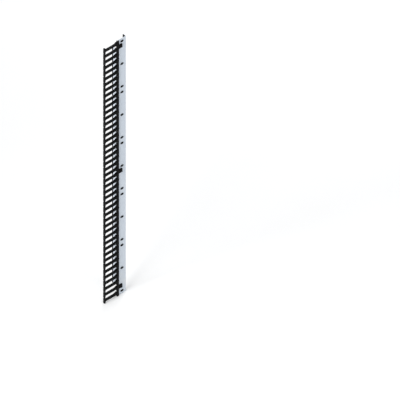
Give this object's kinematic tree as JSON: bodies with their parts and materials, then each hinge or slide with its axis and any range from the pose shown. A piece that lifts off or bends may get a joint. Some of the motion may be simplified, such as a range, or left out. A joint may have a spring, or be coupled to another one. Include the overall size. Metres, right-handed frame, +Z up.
{
  "type": "vertical cable manager",
  "caption": "Tall vertical cable manager for a server rack: folded steel channel with a comb of T-tipped plastic fingers along one edge, post mounting blocks and captive screws.",
  "frame": {"origin": "centre of the middle mounting screw where it leaves the middle block's face", "axes": "+X out of the blocks towards the cabinet's post, -Y along the fingers, +Z up the channel"},
  "size_m": [0.0666, 0.2049, 2.0002],
  "materials": {
    "channel_steel": "pale blue-grey powder coat, satin",
    "finger_plastic": "black moulded nylon, fine texture",
    "block_plastic": "black moulded plastic, matte",
    "edge_trim": "black edge guard",
    "module_screw": "black zinc plating",
    "mounting_screw": "black zinc plating",
    "plated_steel": "bright zinc plating",
    "nylon": "black nylon"
  },
  "bodies": {
    "manager": {"back_channel": "channel_steel", "front_edge_trim": "edge_trim", "rear_edge_trim": "edge_trim", "finger_module_1": "finger_plastic", "module_1_screws": "module_screw", "module_1_plates": "module_screw", "module_1_nuts": "plated_steel", "finger_module_2": "finger_plastic", "module_2_screws": "module_screw", "module_2_plates": "module_screw", "module_2_nuts": "plated_steel", "finger_module_3": "finger_plastic", "module_3_screws": "module_screw", "module_3_plates": "module_screw", "module_3_nuts": "plated_steel", "finger_module_4": "finger_plastic", "module_4_screws": "module_screw", "module_4_plates": "module_screw", "module_4_nuts": "plated_steel", "finger_module_5": "finger_plastic", "module_5_screws": "module_screw", "module_5_plates": "module_screw", "module_5_nuts": "plated_steel", "bottom_mounting_block": "block_plastic", "bottom_flat_washer": "plated_steel", "middle_mounting_block": "block_plastic", "middle_flat_washer": "plated_steel", "top_mounting_block": "block_plastic", "top_flat_washer": "plated_steel"},
    "bottom_screw": {"bottom_mounting_screw": "mounting_screw", "bottom_retaining_washer": "nylon"},
    "middle_screw": {"middle_mounting_screw": "mounting_screw", "middle_retaining_washer": "nylon"},
    "top_screw": {"top_mounting_screw": "mounting_screw", "top_retaining_washer": "nylon"}
  },
  "joints": [
    {"name": "bottom_screw_turn", "type": "hinge", "parent": "manager", "child": "bottom_screw", "pos_m": [0, 0, -0.90487], "axis": [1, 0, 0], "continuous": true},
    {"name": "middle_screw_turn", "type": "hinge", "parent": "manager", "child": "middle_screw", "pos_m": [0, 0, 0], "axis": [1, 0, 0], "continuous": true},
    {"name": "top_screw_turn", "type": "hinge", "parent": "manager", "child": "top_screw", "pos_m": [0, 0, 0.9779], "axis": [1, 0, 0], "continuous": true}
  ]
}
